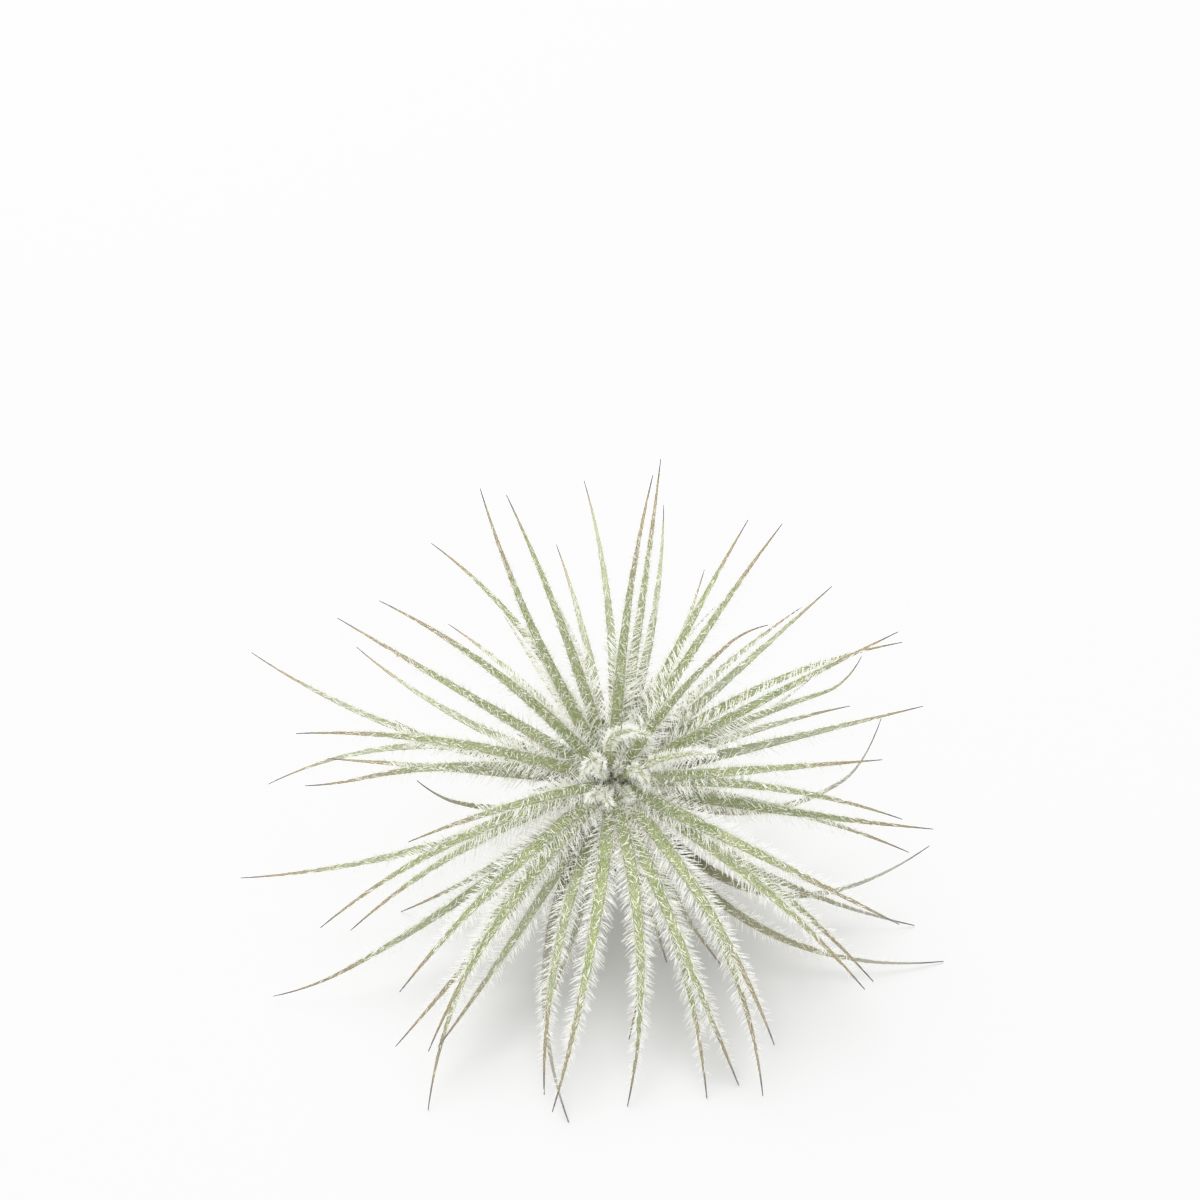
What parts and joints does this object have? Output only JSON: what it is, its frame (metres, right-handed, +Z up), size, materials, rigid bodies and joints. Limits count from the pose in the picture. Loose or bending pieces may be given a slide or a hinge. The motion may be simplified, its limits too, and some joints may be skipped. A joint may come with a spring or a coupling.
{
  "type": "tectorum air plant",
  "caption": "Small air plant lying on its stub: a round rosette of narrow channelled leaves with a curled heart.",
  "frame": {"origin": "centre of the bounding box at the level of the surface that the plant rests on", "axes": "+Z up, -Y the side that the rosette's face leans towards, +X to the right of a viewer who looks along +Y"},
  "size_m": [0.1168, 0.0924, 0.068],
  "materials": {
    "green_leaf": "sage green leaf under fine white scales and hairs, with brown tips",
    "young_leaf": "pale green young leaf, almost white with hairs",
    "old_leaf": "dry grey-brown leaf with worn hairs",
    "stem_bark": "dry brown fibrous stub with papery sheaths",
    "leaf_hair": "fine white silky hairs"
  },
  "bodies": {
    "root": {"stem": "stem_bark", "old_leaves": "old_leaf", "green_leaves": "green_leaf", "heart_leaves": "young_leaf"}
  },
  "joints": []
}
